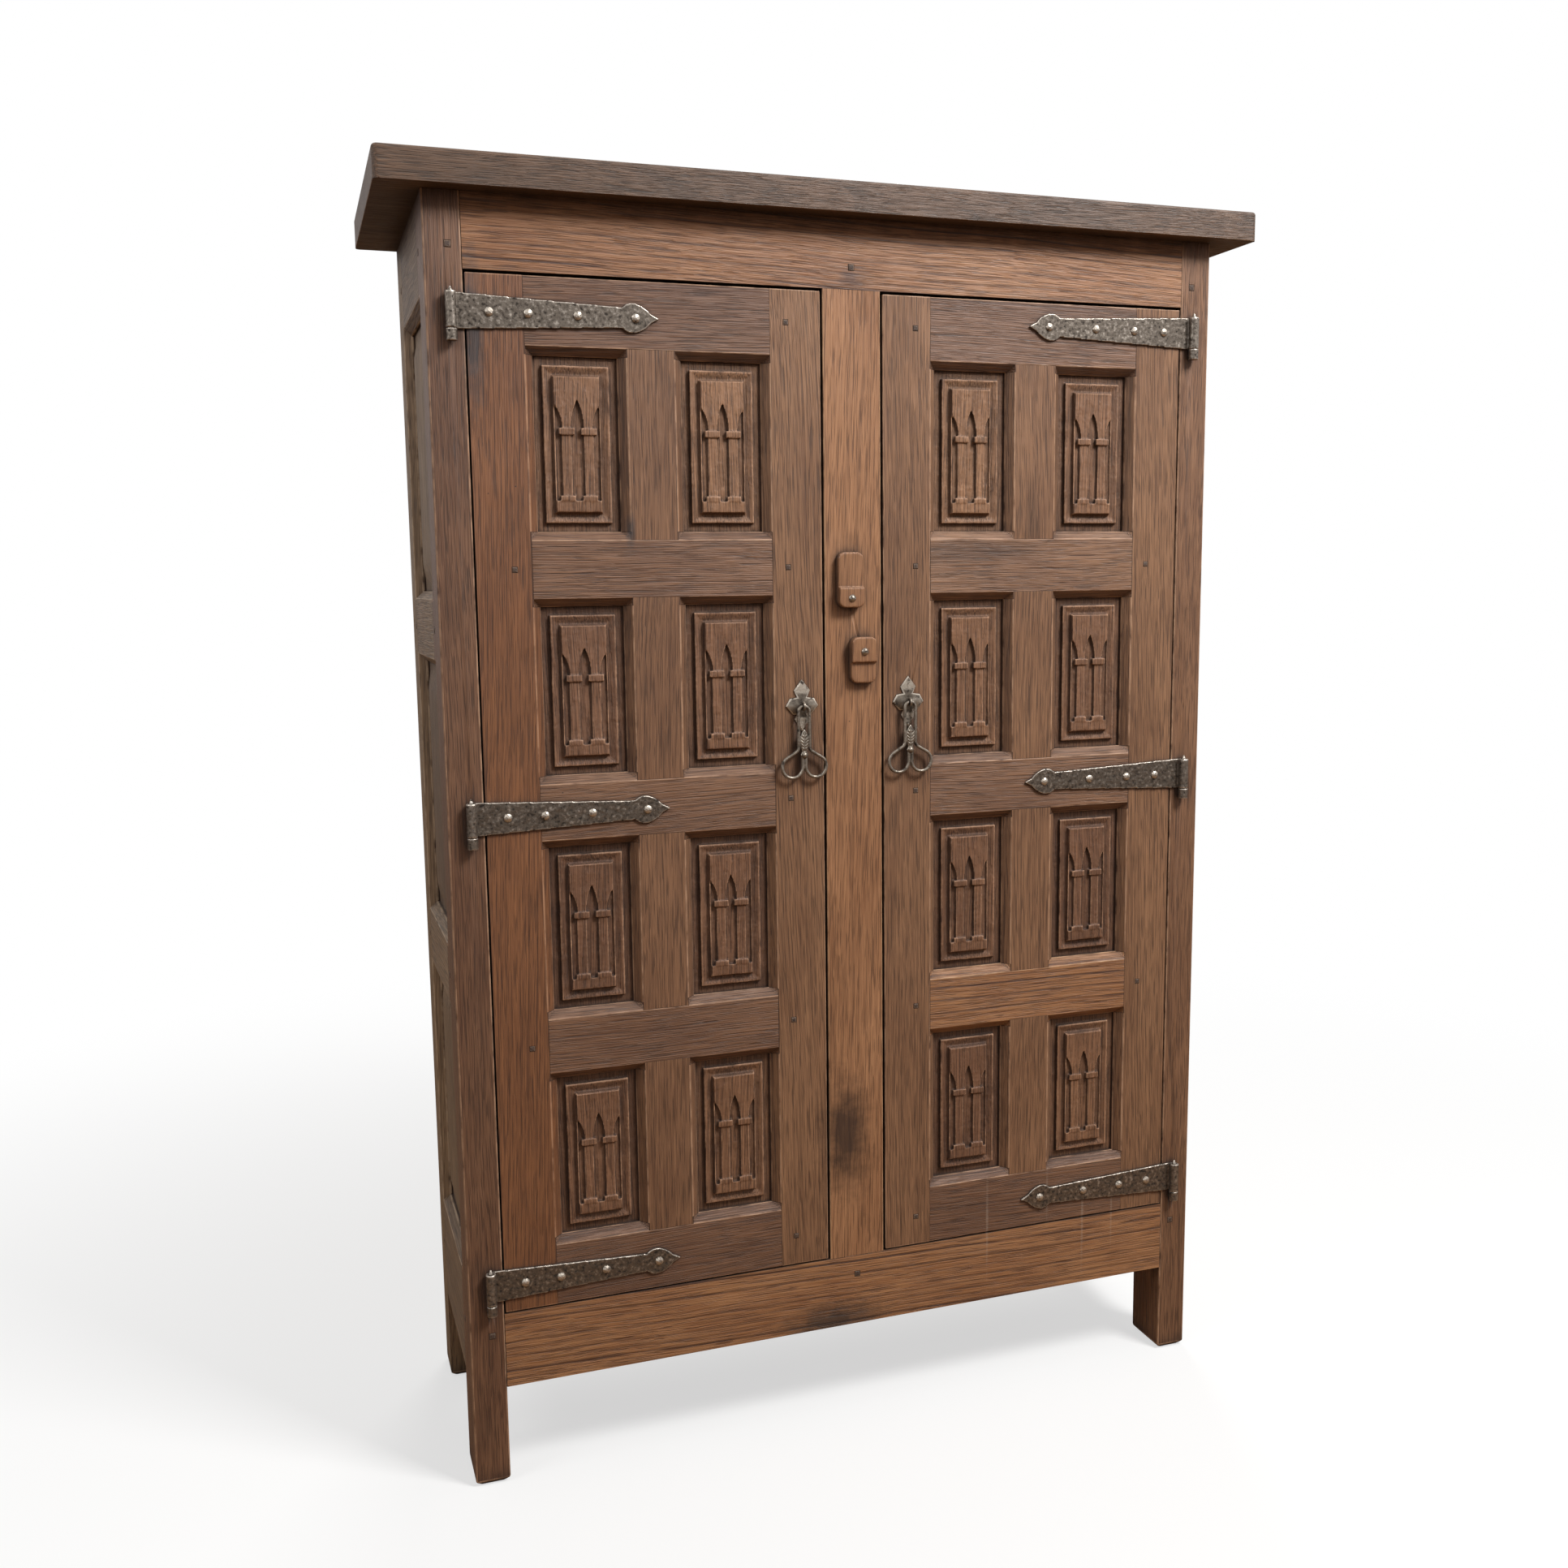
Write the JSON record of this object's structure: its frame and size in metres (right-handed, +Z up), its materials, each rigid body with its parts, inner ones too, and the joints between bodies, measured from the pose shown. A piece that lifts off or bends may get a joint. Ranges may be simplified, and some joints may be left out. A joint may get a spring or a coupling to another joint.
{
  "type": "cabinet",
  "caption": "Tall oak cabinet on short legs with carved panelled doors, iron strap hinges, drop handles and wooden turn buttons, open inside with shelves.",
  "frame": {"origin": "middle of the top board's outline, projected down to the floor under the feet", "axes": "+X to the right as seen from the front, +Y from the doors to the back, +Z up"},
  "size_m": [1.162, 0.374, 1.638],
  "materials": {
    "oak_frame": "worn and waxed, open grain",
    "oak_door": "worn and waxed, open grain",
    "oak_panel": "carved, worn and waxed",
    "oak_side": "worn and waxed, open grain",
    "oak_top": "dark, worn and waxed",
    "oak_inside": "plain and dry",
    "oak_button": "worn smooth",
    "oak_peg": "dark end grain",
    "hinge_iron": "hammered, dark and pewter-like",
    "pull_iron": "forged, dark",
    "rivet_iron": "burnished",
    "nail_iron": "dark"
  },
  "bodies": {
    "root": {"top_board": "oak_top", "front_left_post": "oak_frame", "front_right_post": "oak_frame", "rear_left_post": "oak_side", "rear_right_post": "oak_side", "front_top_rail": "oak_frame", "front_bottom_rail": "oak_frame", "centre_mullion": "oak_frame", "rear_top_rail": "oak_side", "rear_bottom_rail": "oak_side", "back_boards": "oak_inside", "back_board_nails": "nail_iron", "floor_board": "oak_inside", "lower_shelf": "oak_inside", "upper_shelf": "oak_inside", "shelf_cleats": "oak_inside", "frame_pegs": "oak_peg", "hinge_pintles": "hinge_iron", "turn_button_screws": "rivet_iron", "left_side_top_rail": "oak_side", "left_side_upper_rail": "oak_side", "left_side_lower_rail": "oak_side", "left_side_bottom_rail": "oak_side", "left_side_panels": "oak_side", "right_side_top_rail": "oak_side", "right_side_upper_rail": "oak_side", "right_side_lower_rail": "oak_side", "right_side_bottom_rail": "oak_side", "right_side_panels": "oak_side"},
    "left_door": {"left_door_hinge_stile": "oak_door", "left_door_lock_stile": "oak_door", "left_door_top_rail": "oak_door", "left_door_upper_rail": "oak_door", "left_door_middle_rail": "oak_door", "left_door_lower_rail": "oak_door", "left_door_bottom_rail": "oak_door", "left_door_muntins": "oak_door", "left_door_panels": "oak_panel", "left_door_pegs": "oak_peg", "left_door_hinge_straps": "hinge_iron", "left_door_rivets": "rivet_iron", "left_pull_plate": "pull_iron"},
    "right_door": {"right_door_hinge_stile": "oak_door", "right_door_lock_stile": "oak_door", "right_door_top_rail": "oak_door", "right_door_upper_rail": "oak_door", "right_door_middle_rail": "oak_door", "right_door_lower_rail": "oak_door", "right_door_bottom_rail": "oak_door", "right_door_muntins": "oak_door", "right_door_panels": "oak_panel", "right_door_pegs": "oak_peg", "right_door_hinge_straps": "hinge_iron", "right_door_rivets": "rivet_iron", "right_pull_plate": "pull_iron"},
    "left_pull": {"left_pull": "pull_iron"},
    "right_pull": {"right_pull": "pull_iron"},
    "upper_turn_button": {"upper_turn_button": "oak_button"},
    "lower_turn_button": {"lower_turn_button": "oak_button"}
  },
  "joints": [
    {"name": "left_door_swing", "type": "hinge", "parent": "root", "child": "left_door", "pos_m": [-0.499, -0.166, 0.87], "axis": [0, 0, -1], "range_deg": [0, 180]},
    {"name": "right_door_swing", "type": "hinge", "parent": "root", "child": "right_door", "pos_m": [0.499, -0.166, 0.87], "axis": [0, 0, 1], "range_deg": [0, 180]},
    {"name": "left_pull_swing", "type": "hinge", "parent": "left_door", "child": "left_pull", "pos_m": [-0.07225, -0.166, 0.99], "axis": [-1, 0, 0], "range_deg": [-2, 170]},
    {"name": "right_pull_swing", "type": "hinge", "parent": "right_door", "child": "right_pull", "pos_m": [0.07675, -0.166, 0.99], "axis": [-1, 0, 0], "range_deg": [-2, 170]},
    {"name": "upper_turn_button_turn", "type": "hinge", "parent": "root", "child": "upper_turn_button", "pos_m": [-0.006, -0.158, 1.127], "axis": [0, -1, 0], "range_deg": [0, 90]},
    {"name": "lower_turn_button_turn", "type": "hinge", "parent": "root", "child": "lower_turn_button", "pos_m": [0.011, -0.158, 1.058], "axis": [0, -1, 0], "range_deg": [0, 90]}
  ]
}
